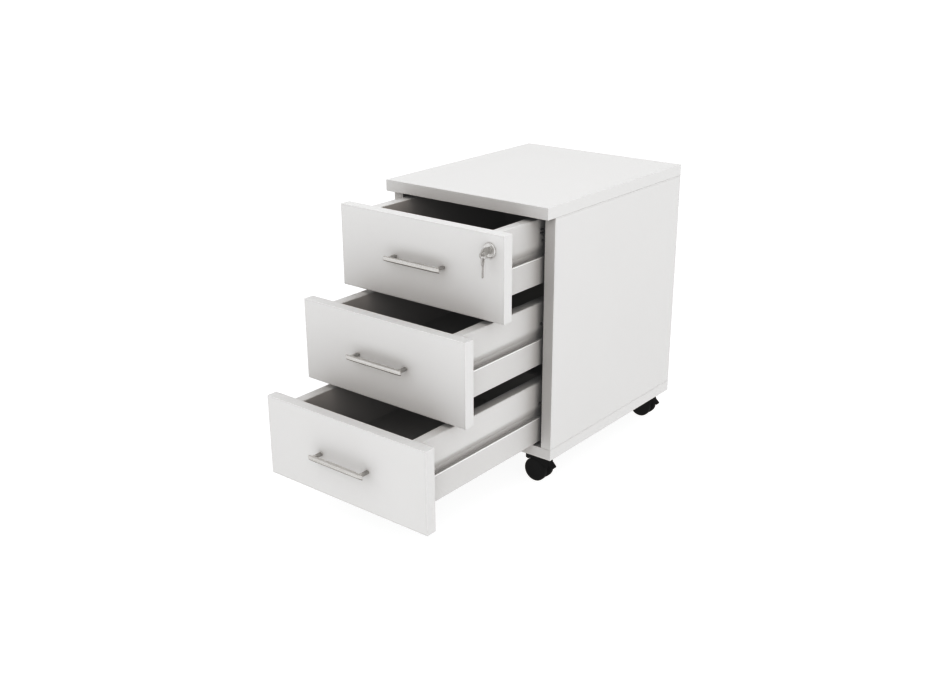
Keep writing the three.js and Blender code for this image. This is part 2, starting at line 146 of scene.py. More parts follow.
# ---------------------------------------------------------------------------- materials
def melamine(name, low, high, thin_axis, seed):
    """White melamine-faced board: pearl texture, faint mottling and the fine joint line of the
    edge banding a little way in from the arris of each broad face. low and high are the board's
    corners."""
    white = grey(0.80, warm=0.002)
    line_inset = 0.0026
    mat = new_material(name)
    coords = mat.coords(offset=(seed, seed * 0.7, seed * 1.3))
    pearl = mat.noise(coords, scale=1150.0, detail=2.0, rough=0.55)
    fine = mat.noise(coords, scale=3200.0, detail=2.0, rough=0.6)
    cloud = mat.noise(coords, scale=5.5, rough=0.55)
    source = mat.node("TexCoord").outputs
    point = mat.node("SeparateXYZ", {0: source["Object"]}).outputs
    normal = mat.node("SeparateXYZ", {0: source["Normal"]}).outputs
    insets = [mat.calc("MINIMUM", mat.calc("SUBTRACT", point[axis], low[axis]),
                       mat.calc("SUBTRACT", high[axis], point[axis]))
              for axis in range(3) if axis != thin_axis]
    inset = mat.calc("MINIMUM", *insets)
    broad = mat.remap(mat.calc("ABSOLUTE", normal[thin_axis]), span=(0.90, 0.97))
    off_line = mat.calc("ABSOLUTE", mat.calc("SUBTRACT", inset, line_inset))
    line = mat.calc("MULTIPLY", mat.remap(off_line, span=(0.00006, 0.00026), to=(1.0, 0.0)), broad)
    banding = mat.calc("SUBTRACT", 1.0, broad)

    tone = mat.mix(mat.remap(cloud), scaled(white, 0.988), white)
    tone = mat.stain(tone, scaled(white, 0.965), mat.remap(pearl, span=(0.35, 0.7)), amount=0.35)
    tone = mat.stain(tone, grey(0.40, warm=0.01), line, amount=0.35)
    rough = mat.calc("ADD", mat.remap(cloud, span=(0.25, 0.75), to=(0.40, 0.47)),
                     mat.remap(pearl, to=(-0.03, 0.04)))
    # the banding is a little smoother than the broad faces
    rough = mat.calc("SUBTRACT", rough, mat.calc("MULTIPLY", banding, 0.07))
    texture = mat.bump(mat.blend(pearl, fine, share=0.25), strength=0.22, distance=0.00006)
    groove = mat.bump(mat.calc("SUBTRACT", 1.0, line), strength=0.5, distance=0.00012,
                      Normal=texture)
    return mat.surface(Base_Color=tone, Roughness=rough, Specular_IOR_Level=0.42, Normal=groove)


def powder_white(name, level=1.0):
    """White powder coat: orange peel over thin steel."""
    mat = new_material(name)
    coords = mat.coords()
    peel = mat.noise(coords, scale=620.0, detail=2.0, rough=0.45)
    grain = mat.noise(coords, scale=2600.0, detail=2.0, rough=0.6)
    cloud = mat.noise(coords, scale=7.0, detail=2.0)
    tone = mat.mix(mat.remap(cloud), grey(0.775 * level, warm=0.004),
                   grey(0.79 * level, warm=0.004))
    tone = mat.stain(tone, grey(0.75 * level, warm=0.006), mat.remap(grain, span=(0.45, 0.75)),
                     amount=0.3)
    return mat.surface(
        Base_Color=tone, Roughness=mat.remap(peel, to=(0.30, 0.40)), Specular_IOR_Level=0.5,
        Normal=mat.bump(mat.blend(peel, grain, share=0.2), strength=0.25, distance=0.00008))


def inner_face_shade_grey():
    """Warm grey on the faces of the drawer sides that look into the drawer: painted shade, a
    darker copy of the sides' white coat for the shade inside the drawer.
    """
    mat = new_material("inner_face_shade_grey")
    coords = mat.coords()
    peel = mat.noise(coords, scale=700.0, detail=2.0)
    cloud = mat.noise(coords, scale=9.0)
    tone = mat.mix(mat.remap(cloud), (0.66, 0.633, 0.616), (0.70, 0.673, 0.656))
    tone = mat.stain(tone, (0.615, 0.593, 0.577), mat.remap(peel, span=(0.4, 0.7)), amount=0.35)
    return mat.surface(
        Base_Color=tone, Roughness=mat.remap(peel, to=(0.44, 0.58)), Specular_IOR_Level=0.35,
        Normal=mat.bump(peel, strength=0.3, distance=0.00008))


def laminate_grey():
    """Warm grey laminate of the drawer floors and backs: fine grain along the drawer."""
    mat = new_material("laminate_grey")
    grain = mat.noise(mat.coords(stretch=(230.0, 9.0, 230.0)), scale=3.0, detail=5.0, rough=0.6)
    pores = mat.noise(mat.coords(stretch=(1500.0, 60.0, 1500.0)), scale=1.0, detail=2.0)
    cloud = mat.noise(mat.coords(), scale=7.0)
    tone = mat.mix(mat.remap(grain), (0.53, 0.509, 0.493), (0.615, 0.594, 0.578))
    tone = mat.stain(tone, (0.55, 0.529, 0.513), mat.remap(cloud, span=(0.35, 0.7)), amount=0.4)
    tone = mat.stain(tone, (0.38, 0.365, 0.35), mat.remap(pores, span=(0.55, 0.75)), amount=0.6)
    return mat.surface(
        Base_Color=tone, Roughness=mat.remap(grain, span=(0.25, 0.75), to=(0.46, 0.62)),
        Specular_IOR_Level=0.35,
        Normal=mat.bump(mat.blend(grain, pores, share=0.4), strength=0.3, distance=0.0001))


def zinc(name, base):
    """Zinc plating of the runners and screws: small spangle and draw marks along the rail."""
    mat = new_material(name)
    cells = mat.node("TexVoronoi", {"Vector": mat.coords(), "Scale": 260.0})
    spangle = mat.node("SeparateXYZ", {0: cells.outputs["Color"]}).outputs[0]
    draw = mat.noise(mat.coords(stretch=(900.0, 14.0, 900.0)), scale=1.0, rough=0.6)
    tone = mat.mix(mat.remap(spangle, span=(0, 1)), scaled(base, 0.86), scaled(base, 1.1))
    tone = mat.stain(tone, scaled(base, 0.75), mat.remap(draw, span=(0.5, 0.75)), amount=0.5)
    rough = mat.calc("ADD", mat.remap(spangle, span=(0, 1), to=(0.30, 0.40)),
                     mat.remap(draw, to=(-0.03, 0.06)))
    spangle_relief = 0.2
    height = mat.calc("ADD", draw, mat.calc("MULTIPLY", spangle, spangle_relief))
    return mat.surface(Base_Color=tone, Metallic=1.0, Roughness=rough,
                       Normal=mat.bump(height, strength=0.25, distance=0.00005))


def brushed_nickel():
    """Satin nickel of the bow handles, brushed along the bar."""
    mat = new_material("brushed_nickel")
    fine = mat.noise(mat.coords(stretch=(26.0, 2600.0, 2600.0)), scale=1.0, rough=0.6)
    broad = mat.noise(mat.coords(stretch=(12.0, 520.0, 520.0)), scale=1.0, detail=2.0)
    streak = mat.blend(fine, broad, share=0.4)
    tone = mat.mix(mat.remap(streak, span=(0.32, 0.68)), (0.60, 0.595, 0.585),
                   (0.76, 0.755, 0.745))
    return mat.surface(
        Base_Color=tone, Metallic=1.0, Roughness=mat.remap(streak, to=(0.24, 0.36)),
        Anisotropic=0.5, Normal=mat.bump(streak, strength=0.22, distance=0.00004))


def nickel(name, base, rough):
    """Nickel plate with light handling marks."""
    mat = new_material(name)
    coords = mat.coords()
    marks = mat.noise(mat.coords(stretch=(2400.0, 300.0, 500.0)), scale=1.0, rough=0.65)
    cloud = mat.noise(coords, scale=160.0)
    tone = mat.mix(mat.remap(cloud), scaled(base, 0.9), scaled(base, 1.06))
    tone = mat.stain(tone, scaled(base, 0.62), mat.remap(marks, span=(0.56, 0.7)), amount=0.5)
    return mat.surface(Base_Color=tone, Metallic=1.0, Roughness=mat.remap(marks, to=rough),
                       Normal=mat.bump(marks, strength=0.2, distance=0.00003))


def nylon_black(name, base, rough):
    """Black glass-filled nylon with a spark-eroded mould texture."""
    mat = new_material(name)
    coords = mat.coords()
    spark = mat.noise(coords, scale=1900.0, detail=2.0, rough=0.6)
    flow = mat.noise(coords, scale=55.0)
    tone = mat.mix(mat.remap(flow), grey(base * 0.85), grey(base * 1.35))
    tone = mat.stain(tone, grey(base * 1.9), mat.remap(spark, span=(0.55, 0.75)), amount=0.5)
    roughness = mat.calc("ADD", mat.remap(flow, to=rough), mat.remap(spark, to=(-0.03, 0.05)))
    return mat.surface(Base_Color=tone, Roughness=roughness, Specular_IOR_Level=0.14,
                       Normal=mat.bump(spark, strength=0.35, distance=0.00007))


def steel_black():
    """Black e-coated steel of the castor plates, with brighter rubbed spots."""
    mat = new_material("steel_black")
    coords = mat.coords()
    grain = mat.noise(coords, scale=900.0, detail=2.0, rough=0.6)
    rub = mat.noise(coords, scale=90.0, detail=4.0, rough=0.65)
    tone = mat.mix(mat.remap(grain), grey(0.014), grey(0.022))
    tone = mat.stain(tone, grey(0.09), mat.remap(rub, span=(0.66, 0.78)), amount=0.5)
    return mat.surface(
        Base_Color=tone, Metallic=0.35, Roughness=mat.remap(grain, to=(0.34, 0.46)),
        Normal=mat.bump(grain, strength=0.3, distance=0.00006))


POWDER = powder_white("powder_coat_white")
# the inward faces of the white drawer sides: painted shade
INNER_FACE_SHADE = inner_face_shade_grey()
LAMINATE = laminate_grey()
# darker copy of the white coat: painted shade on the outer runner wall of the drawer sides
RUNNER_WALL_SHADE = powder_white("powder_coat_runner_wall_painted_shade", level=0.96)
# brighter copy of the white coat: a painted highlight along the lip of the drawer sides
LIP_PAINTED_HIGHLIGHT = powder_white("powder_coat_lip_painted_highlight", level=1.245)
ZINC = zinc("zinc_plate", base=(0.60, 0.615, 0.63))
HANDLE = brushed_nickel()
LOCK = nickel("nickel_lock", base=(0.74, 0.74, 0.735), rough=(0.22, 0.34))
KEY = nickel("nickel_key", base=(0.63, 0.63, 0.625), rough=(0.30, 0.44))
# darker copy of the handle's nickel: painted shade on the handle legs
LEG_SHADE = nickel("nickel_leg_painted_shade", base=(0.50, 0.497, 0.49), rough=(0.36, 0.50))
# dark nickel on the rebated strip: a painted shadow line under the handle bar
REBATE_SHADE = nickel("nickel_rebate_painted_shade", base=(0.16, 0.16, 0.16), rough=(0.45, 0.58))
NYLON = nylon_black("nylon_black", base=0.0052, rough=(0.46, 0.60))
TREAD = nylon_black("nylon_tread", base=0.0075, rough=(0.50, 0.66))
STEEL = steel_black()
# dark zinc for the locking bar: painted shade, so that the bar reads as the shade in the gap by
# the cabinet's front edge
DARK_ZINC_SHADE = zinc("zinc_dark_painted_shade", base=(0.10, 0.10, 0.105))
SCREW = zinc("zinc_screw", base=(0.66, 0.665, 0.67))


# ---------------------------------------------------------------------------- carried-over nodes
def clean_normals():
    """Node group that drops custom normals and shades smooth."""
    group = bpy.data.node_groups.new("clean_normals", "GeometryNodeTree")
    for way in ("INPUT", "OUTPUT"):
        group.interface.new_socket("Geometry", in_out=way, socket_type="NodeSocketGeometry")
    start, end = group.nodes.new("NodeGroupInput"), group.nodes.new("NodeGroupOutput")
    drop = group.nodes.new("GeometryNodeRemoveAttribute")
    smooth = group.nodes.new("GeometryNodeSetShadeSmooth")
    drop.inputs["Name"].default_value = "custom_normal"
    for source, target in ((start, drop), (drop, smooth), (smooth, end)):
        group.links.new(source.outputs[0], target.inputs[0])
    return group


CLEAN = clean_normals()


def add_bevel(target, width, segments, degrees, harden=True):
    """Rounds the arrises sharper than an angle; width is in the object's own units."""
    bevel = target.modifiers.new("arris", "BEVEL")
    bevel.width = width
    bevel.segments = segments
    bevel.limit_method = "ANGLE"
    bevel.angle_limit = math.radians(degrees)
    bevel.harden_normals = harden
    return bevel


def dress(name, material, width, segments):
    """A CAD node that stays: its own mesh, with rounded arrises and a material."""
    target = nodes[name]
    weld = target.modifiers.new("weld", "WELD")
    weld.merge_threshold = 1e-5
    planar = target.modifiers.new("planar", "DECIMATE")
    planar.decimate_type = "DISSOLVE"
    planar.angle_limit = math.radians(0.5)
    target.modifiers.new("normals", "NODES").node_group = CLEAN
    bevel = add_bevel(target, width * MM, segments, degrees=30.0)
    bevel.miter_outer = "MITER_ARC"
    for material_slot in target.material_slots:
        material_slot.link = "OBJECT"
        material_slot.material = material


# ---------------------------------------------------------------------------- mesh helpers
def tidy(mesh):
    bmesh.ops.remove_doubles(mesh, verts=mesh.verts, dist=1e-4)
    bmesh.ops.recalc_face_normals(mesh, faces=mesh.faces)


def store(name, mesh):
    """Turns a bmesh into mesh data and frees it."""
    data = bpy.data.meshes.new(name)
    mesh.to_mesh(data)
    mesh.free()
    return data


def finish_piece(name, mesh, body, materials, replaces=None, smooth=35.0,
                 arris=0.0, segments=3, arris_angle=38.0):
    """A mesh in millimetres becomes a piece in metres that rides on a body."""
    tidy(mesh)
    bmesh.ops.scale(mesh, vec=(MM, MM, MM), verts=mesh.verts)
    data = store(name, mesh)
    for material in materials:
        data.materials.append(material)
    for face in data.polygons:
        face.use_smooth = True
    piece = add_object(name, data)
    if arris:
        add_bevel(piece, arris * MM, segments, arris_angle)
    else:
        data.set_sharp_from_angle(angle=math.radians(smooth))
    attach(piece, body)
    if replaces:
        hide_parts(replaces)


# Placements: each maps an outline point (u, v) and a depth or height w to a point.
def upright(u, v, w):
    return Vector((u, v, w))


def along_x(u, v, w):
    return Vector((w, u, v))


def along_y(x=0.0, z=0.0):
    """Depth runs along +Y, from an axis at x, z."""
    return lambda u, v, w: Vector((x + u, w, z + v))


def lathe(profile, segments, place):
    """Turns a closed outline of (radius, height)."""
    mesh = bmesh.new()
    rings = []
    for radius, height in profile:
        if radius < 1e-6:
            rings.append([mesh.verts.new(place(0.0, 0.0, height))])
        else:
            rings.append([mesh.verts.new(place(u, v, height))
                          for u, v in ring_points(0.0, 0.0, radius, segments)])
    for low, high in zip(rings, rings[1:] + rings[:1]):
        if len(low) == 1 and len(high) == 1:
            continue
        for i in range(segments):
            j = (i + 1) % segments
            if len(low) == 1:
                mesh.faces.new((low[0], high[i], high[j]))
            elif len(high) == 1:
                mesh.faces.new((low[i], low[j], high[0]))
            else:
                mesh.faces.new((low[i], low[j], high[j], high[i]))
    return mesh


def cylinder(radius, low, high, segments, place=upright):
    return lathe([(0, low), (radius, low), (radius, high), (0, high)], segments, place)


def bridge(mesh, first, second):
    """Joins two closed rings of vertices with quads."""
    count = len(first)
    for i in range(count):
        j = (i + 1) % count
        mesh.faces.new((first[i], first[j], second[j], second[i]))


def loft(rings, mesh=None):
    """Skins a run of equal rings of points and closes both ends."""
    if mesh is None:
        mesh = bmesh.new()
    loops = [[mesh.verts.new(point) for point in ring] for ring in rings]
    for first, second in zip(loops, loops[1:]):
        bridge(mesh, first, second)
    mesh.faces.new(loops[0])
    mesh.faces.new(loops[-1][::-1])
    return mesh


def prism(outlines, start, end, place, mesh=None):
    """Sweeps an outline with holes from one depth to another."""
    if mesh is None:
        mesh = bmesh.new()
    walls = []
    for points in outlines:
        pair = [[mesh.verts.new(place(u, v, depth)) for u, v in points] for depth in (start, end)]
        bridge(mesh, *pair)
        walls.append(pair)
    for cap in (0, 1):
        edges = [mesh.edges.get((pair[cap][i - 1], pair[cap][i]))
                 for pair in walls for i in (*range(1, len(pair[cap])), 0)]
        bmesh.ops.triangle_fill(mesh, use_beauty=True, use_dissolve=False, edges=edges)
    return mesh


def block(low, high):
    mesh = bmesh.new()
    for vert in bmesh.ops.create_cube(mesh, size=1.0)["verts"]:
        vert.co = Vector([low[i] if vert.co[i] < 0 else high[i] for i in range(3)])
    return mesh


def fillet(points, steps=5):
    """Rounds an outline's corners: each point is (u, v) or (u, v, radius)."""
    rounded = []
    count = len(points)
    for i, point in enumerate(points):
        radius = point[2] if len(point) > 2 else 0.0
        corner = Vector(point[:2])
        if radius <= 0:
            rounded.append((corner.x, corner.y))
            continue
        before = Vector(points[i - 1][:2]) - corner
        after = Vector(points[(i + 1) % count][:2]) - corner
        length_before, length_after = before.length, after.length
        before.normalize()
        after.normalize()
        half = before.angle(after) / 2
        cut = min(radius / math.tan(half), length_before * 0.49, length_after * 0.49)
        radius = cut * math.tan(half)
        centre = corner + (before + after).normalized() * (radius / math.sin(half))
        first, last = corner + before * cut - centre, corner + after * cut - centre
        angle, end_angle = math.atan2(first.y, first.x), math.atan2(last.y, last.x)
        turn = (end_angle - angle + math.pi) % (2 * math.pi) - math.pi
        for k in range(steps + 1):
            bearing = angle + turn * k / steps
            rounded.append((centre.x + radius * math.cos(bearing),
                            centre.y + radius * math.sin(bearing)))
    return rounded


def rounded_rect(u, v, half_u, half_v, radius, steps=4):
    return fillet([(u - half_u, v - half_v, radius), (u + half_u, v - half_v, radius),
                   (u + half_u, v + half_v, radius), (u - half_u, v + half_v, radius)], steps)


def ring_points(u, v, radius, count):
    return [(u + radius * math.cos(2 * math.pi * i / count),
             v + radius * math.sin(2 * math.pi * i / count)) for i in range(count)]


def quarter_turn(steps):
    return [math.pi / 2 * k / steps for k in range(steps + 1)]


def spline(points, steps=5):
    """A smooth closed outline through the points (Catmull-Rom)."""
    outline = []
    count = len(points)
    for i in range(count):
        p0, p1, p2, p3 = (Vector(points[(i + k - 1) % count]) for k in range(4))
        for step in range(steps):
            t = step / steps
            point = 0.5 * ((2 * p1) + (p2 - p0) * t + (2 * p0 - 5 * p1 + 4 * p2 - p3) * t * t
                           + (3 * p1 - p0 - 3 * p2 + p3) * t ** 3)
            outline.append((point.x, point.y))
    return outline


def curve_at(table, x):
    """Smooth (Hermite) interpolation in a table of (x, value)."""
    for i in range(len(table) - 1):
        x0, y0 = table[i]
        x1, y1 = table[i + 1]
        if x <= x1:
            x_before, y_before = table[i - 1] if i else (2 * x0 - x1, y1)
            x_after, y_after = table[i + 2] if i + 2 < len(table) else (x1 + (x1 - x0),
                                                                        y1 + (y1 - y0))
            slope0 = (y1 - y_before) / (x1 - x_before)
            slope1 = (y_after - y0) / (x_after - x0)
            width = x1 - x0
            t = (x - x0) / width
            return ((2 * t ** 3 - 3 * t * t + 1) * y0
                    + (t ** 3 - 2 * t * t + t) * width * slope0
                    + (-2 * t ** 3 + 3 * t * t) * y1 + (t ** 3 - t * t) * width * slope1)
    return table[-1][1]


def scratch(name, mesh):
    tidy(mesh)
    return add_object(name, store(name, mesh))


def bake(work, *tools):
    """The mesh of a scratch object after its modifiers; it and its tools are removed."""
    bpy.context.view_layer.update()
    evaluated = work.evaluated_get(bpy.context.evaluated_depsgraph_get())
    mesh = bmesh.new()
    mesh.from_mesh(evaluated.to_mesh())
    evaluated.to_mesh_clear()
    for used in (work, *tools):
        data = used.data
        bpy.data.objects.remove(used)
        bpy.data.meshes.remove(data)
    return mesh


def combine(base, steps):
    """Exact booleans on a mesh: steps are (operation, mesh)."""
    work = scratch("work", base)
    tools = []
    for i, (operation, mesh) in enumerate(steps):
        tools.append(scratch(f"tool_{i}", mesh))
        boolean = work.modifiers.new("boolean", "BOOLEAN")
        boolean.object = tools[-1]
        boolean.operation = operation
        boolean.solver = "EXACT"
    return bake(work, *tools)


# ---------------------------------------------------------------------------- carcass and fronts
# board: its thin axis
BOARDS = {"top_panel": 2, "base_panel": 2, "left_side_panel": 0, "right_side_panel": 0,
          "back_panel": 1}


def dress_carcass():
    for i, (name, thin_axis) in enumerate(BOARDS.items()):
        board = melamine("melamine_" + name, *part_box(name), thin_axis, seed=0.37 * i)
        dress(name, board, width=0.6, segments=4)


def dress_drawers():
    for i, drawer in enumerate(DRAWERS):
        front = f"{drawer}_drawer_front"
        board = melamine(f"melamine_{drawer}_front", *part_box(front), 1, seed=2.0 + 0.41 * i)
        dress(front, board, width=1.0, segments=4)
        dress(f"{drawer}_drawer_floor", LAMINATE, width=0.4, segments=2)
        dress(f"{drawer}_drawer_back", LAMINATE, width=0.8, segments=3)
        for side, _ in SIDES:
            dress(f"{drawer}_{side}_cabinet_rail", ZINC, width=0.45, segments=2)
            dress(f"{drawer}_{side}_extension_rail", ZINC, width=0.6, segments=2)
    # the locking bar is coloured dark: painted shade
    dress("locking_bar", DARK_ZINC_SHADE, width=0.35, segments=2)


dress_carcass()
dress_drawers()

# ---------------------------------------------------------------------------- drawer sides
# Cross-section of the folded steel side and the hollow in it:
# (distance from the middle plane, height above the front's lower edge, corner radius)
SIDE_OUTER = [
    (148.5, 168.5, 2.4), (172.5, 168.5, 2.4), (172.5, 113.0, 28.0), (166.2, 98.5, 12.0),
    (166.2, 86.5, 1.0), (176.0, 86.5, 0.5), (176.0, 90.2, 1.15), (178.5, 90.2, 1.1),
    (178.5, 87.6, 0.3), (178.1, 87.2, 0.3), (178.1, 33.5, 0.4), (177.3, 33.5, 0.4),
    (177.3, 67.0, 0.4), (173.0, 67.0, 0.3), (173.0, 54.0, 0.4), (171.8, 54.0, 0.4),
    (171.8, 67.0, 0.3), (155.2, 67.0, 0.3), (155.2, 54.0, 0.4), (154.0, 54.0, 0.4),
    (154.0, 67.0, 0.3), (149.7, 67.0, 0.3), (149.7, 34.6, 0.8), (142.0, 34.6, 0.5),
    (142.0, 35.8, 0.5), (148.5, 35.8, 0.3),
]
SIDE_HOLLOW = [
    (149.7, 68.2, 0.5), (177.3, 68.2, 0.5), (177.3, 85.3, 0.5), (165.0, 85.3, 0.6),
    (165.0, 98.8, 12.0), (171.3, 113.2, 27.0), (171.3, 167.3, 1.2), (149.7, 167.3, 1.2),
]
LUG_INSET, LUG_HEIGHT = 11.0, 120.5  # from the side's front end, above the front's lower edge


def drawer_side(drawer, side, sign):
    name = f"{drawer}_drawer_{side}_side"
    bottom = box_mm(f"{drawer}_drawer_front")[0].z
    low, high = box_mm(name)
    outlines = [[(u, bottom + v) for u, v in fillet(points)]
                for points in (SIDE_OUTER, SIDE_HOLLOW)]
    mesh = prism(outlines, low.y, high.y, lambda u, v, w: Vector((sign * u, w, v)))
    bmesh.ops.recalc_face_normals(mesh, faces=mesh.faces)
    for face in mesh.faces:
        centre = face.calc_center_median()
        away, outward = abs(centre.x), face.normal.x * sign
        if outward < -0.9 and away < 149.2 and centre.z > bottom + 52:
            face.material_index = 1  # inward faces: darker warm grey, painted shade
        elif away > 176.9 and bottom + 87.25 < centre.z < bottom + 90.4:
            face.material_index = 3  # lip: brighter white, a painted highlight along the lip's edge
        elif outward > 0.5 and away > 177.5:
            face.material_index = 2  # runner wall: a darker copy of the white coat, painted shade
    if side == "right":
        # the lug that the locking bar holds, on a thin plate
        lug_y, lug_z = low.y + LUG_INSET, bottom + LUG_HEIGHT
        prism([rounded_rect(lug_y, lug_z, 2.0, 2.5, 0.9)], 172.0, 185.5, along_x, mesh)
        prism([rounded_rect(lug_y, lug_z, 8.5, 9.0, 2.0)], 172.2, 173.6, along_x, mesh)
    finish_piece(name + "_skin", mesh, f"{drawer}_drawer",
                 [POWDER, INNER_FACE_SHADE, RUNNER_WALL_SHADE, LIP_PAINTED_HIGHLIGHT], name)


for drawer in DRAWERS:
    for side, sign in SIDES:
        drawer_side(drawer, side, sign)

# ---------------------------------------------------------------------------- handles
# The bar's outer and inner face: (distance from its middle, distance ahead of the drawer front)
BAR_OUTER = [(0, 28.0), (20, 28.0), (40, 28.0), (58, 27.9), (68, 27.5), (72, 26.9), (74, 26.3)]
BAR_INNER = [(0, 20.2), (22, 20.2), (40, 20.4), (54, 21.2), (64, 22.3), (71, 23.3), (74, 23.9)]
BAR_HALF_HEIGHT = 4.75
REBATE_DEPTH, REBATE_TOP = 1.3, 3.05  # of the strip under the flat face; top is below the middle
END_START, END_LENGTH, END_PINCH = 73.5, 0.5, 0.35  # where the ends draw in
LEG_X = 64.0
# (distance ahead of the front, half width, half height, corner radius)
LEG_STATIONS = [(0.1, 3.9, 2.9, 1.6), (0.5, 4.3, 3.3, 1.8), (14.0, 3.9, 3.0, 1.7),
                (22.6, 3.9, 3.0, 1.7)]


def bar_stations():
    """Places of the bar's rings along X, closer together near the ends."""
    distances = {74.0, 73.5, 72.2}
    x = -70.6
    while x < 70.7:
        distances.add(round(abs(x), 3))
        x += 2.2 if abs(x) > 50 else 5.04
    return sorted({-d for d in distances} | {0.0} | distances)


def bar_section(x, middle):
    """Flat face with a thin rebated strip under it: (distance ahead of the front, z)."""
    inner, outer = curve_at(BAR_INNER, abs(x)), curve_at(BAR_OUTER, abs(x))
    pinch = END_PINCH * max(0.0, (abs(x) - END_START) / END_LENGTH)
    inner, outer = inner + pinch, outer - pinch
    low, high = middle - BAR_HALF_HEIGHT + pinch, middle + BAR_HALF_HEIGHT - pinch
    step = middle - REBATE_TOP
    return fillet([(inner, low, 0.5), (outer - REBATE_DEPTH, low, 0.5),
                   (outer - REBATE_DEPTH, step, 0.25), (outer, step, 0.55),
                   (outer, high, 0.9), (inner, high, 0.9)], 4)


def handle_z(drawer):
    low, high = box_mm(f"{drawer}_drawer_handle")
    return (low.z + high.z) / 2


def handle(drawer):
    name = f"{drawer}_drawer_handle"
    front = box_mm(f"{drawer}_drawer_front")[0].y
    middle = handle_z(drawer)
    bar = loft([[Vector((x, front - ahead, z)) for ahead, z in bar_section(x, middle)]
                for x in bar_stations()])
    steps = []
    for leg_x in (-LEG_X, LEG_X):
        leg = loft([[Vector((x, front - ahead, z))
                     for x, z in rounded_rect(leg_x, middle, half_u, half_v, radius, 5)]
                    for ahead, half_u, half_v, radius in LEG_STATIONS])
        steps.append(("UNION", leg))
    mesh = combine(bar, steps)
    for face in mesh.faces:
        centre = face.calc_center_median()
        ahead = front - centre.y
        if centre.z < middle - 3.3 and ahead > 19.0:
            face.material_index = 1  # rebate: dark strip, a painted shadow line under the bar
        elif ahead < 19.0 and abs(centre.x) < 70.0:
            face.material_index = 2  # legs: darker nickel, painted shade
    finish_piece(name + "_bow", mesh, f"{drawer}_drawer", [HANDLE, REBATE_SHADE, LEG_SHADE],
                 name, smooth=38)


for drawer in DRAWERS:
    handle(drawer)

# ---------------------------------------------------------------------------- screws
HEAD_RADIUS, HEAD_HEIGHT = 4.0, 2.3
RECESS_HALF_LENGTH, RECESS_HALF_WIDTH, RECESS_DEPTH = HEAD_RADIUS * 0.62, 0.55, 1.1
RAIL_SCREW_X = 188.2
RAIL_SCREWS_Y = (26.0, 58.0, 250.0, 420.0)  # behind the rail's front end
RAIL_SCREW_DROP = 7.5  # below the rail's top


def pan_screw():
    """Pan head with a cross recess; its axis is +Z and its seat is at z = 0."""
    profile = [(0.0, 0.0), (HEAD_RADIUS - 0.15, 0.0), (HEAD_RADIUS, 0.15)]
    profile += [(HEAD_RADIUS * math.cos(t), HEAD_HEIGHT * 0.30 + HEAD_HEIGHT * 0.70 * math.sin(t))
                for t in quarter_turn(7)[:-1]]
    profile.append((0.0, HEAD_HEIGHT))
    cuts = []
    for half_x, half_y in ((RECESS_HALF_LENGTH, RECESS_HALF_WIDTH),
                           (RECESS_HALF_WIDTH, RECESS_HALF_LENGTH)):
        cuts.append(("DIFFERENCE", block((-half_x, -half_y, HEAD_HEIGHT - RECESS_DEPTH),
                                         (half_x, half_y, HEAD_HEIGHT + 1.0))))
    return store("template", combine(lathe(profile, 32, upright), cuts))


PAN_SCREW = pan_screw()


def screws(name, body, places, direction):
    mesh = bmesh.new()
    turn = Vector((0, 0, 1)).rotation_difference(Vector(direction)).to_matrix().to_4x4()
    for k, place in enumerate(places):
        part = bmesh.new()
        part.from_mesh(PAN_SCREW)
        spin = Matrix.Rotation(0.5 + 0.9 * k, 4, "Z")  # no two recesses line up
        part.transform(Matrix.Translation(Vector(place)) @ turn @ spin)
        data = store("part", part)
        mesh.from_mesh(data)
        bpy.data.meshes.remove(data)
    finish_piece(name, mesh, body, [SCREW], smooth=30)


def drawer_screws(drawer):
    rear = box_mm(f"{drawer}_drawer_front")[1].y + 0.02
    z = handle_z(drawer)
    screws(f"{drawer}_handle_screws", f"{drawer}_drawer", [(-LEG_X, rear, z), (LEG_X, rear, z)],
           (0, 1, 0))
    for side, sign in SIDES:
        low, high = box_mm(f"{drawer}_{side}_cabinet_rail")
        places = [(RAIL_SCREW_X * sign, low.y + y, high.z - RAIL_SCREW_DROP)
                  for y in RAIL_SCREWS_Y]
        screws(f"{drawer}_{side}_rail_screws", "root", places, (-sign, 0, 0))


for drawer in DRAWERS:
    drawer_screws(drawer)

# ---------------------------------------------------------------------------- lock and keys
front_low, front_high = box_mm("upper_drawer_front")
housing_low, housing_high = box_mm("lock_housing")
LOCK_X = (housing_low.x + housing_high.x) / 2
LOCK_Z = (housing_low.z + housing_high.z) / 2
FRONT, REAR = front_low.y, front_high.y  # faces of the upper drawer front

BOW_END = FRONT - 4.2  # end of the key's bow at the lock
HOLE_Y = BOW_END - 17.5  # the ring passes through both bows here
RING_RADIUS, RING_RISE = 7.6, 1.2  # the ring's top is RING_RISE above the lock axis
SPARE_Z = LOCK_Z - 2 * RING_RADIUS + RING_RISE - 0.8
NOTCH_PITCH = 3.4
# Half of the key's bow: (distance ahead of BOW_END, half height)
KEY_BOW = [(0, 3.4), (2.6, 6.6), (7.5, 8.1), (13, 8.15), (18.4, 7.2), (22.0, 4.0)]
KEY_BOW_LENGTH = 22.95
KEY_NOTCHES = (1.2, 2.0, 0.9, 1.7)
# The hanging spare key's bow: (y from HOLE_Y, z from SPARE_Z)
SPARE_BOW = [(-2.6, 3.3), (0, 3.6), (2.6, 3.3), (5.1, 0.6), (5.4, -3.4), (4.9, -7.2),
             (2.8, -10.6), (-2.8, -10.6), (-4.9, -7.2), (-5.4, -3.4), (-5.1, 0.6)]
# Its blade down to the first notch, same columns
SPARE_BLADE = [(-2.7, -9.5), (-2.7, -33), (-1.2, -35.4), (1.4, -35.4), (2.7, -33.4)]
SPARE_NOTCHES = (1.1, 1.9, 0.8, 1.6, 1.2)


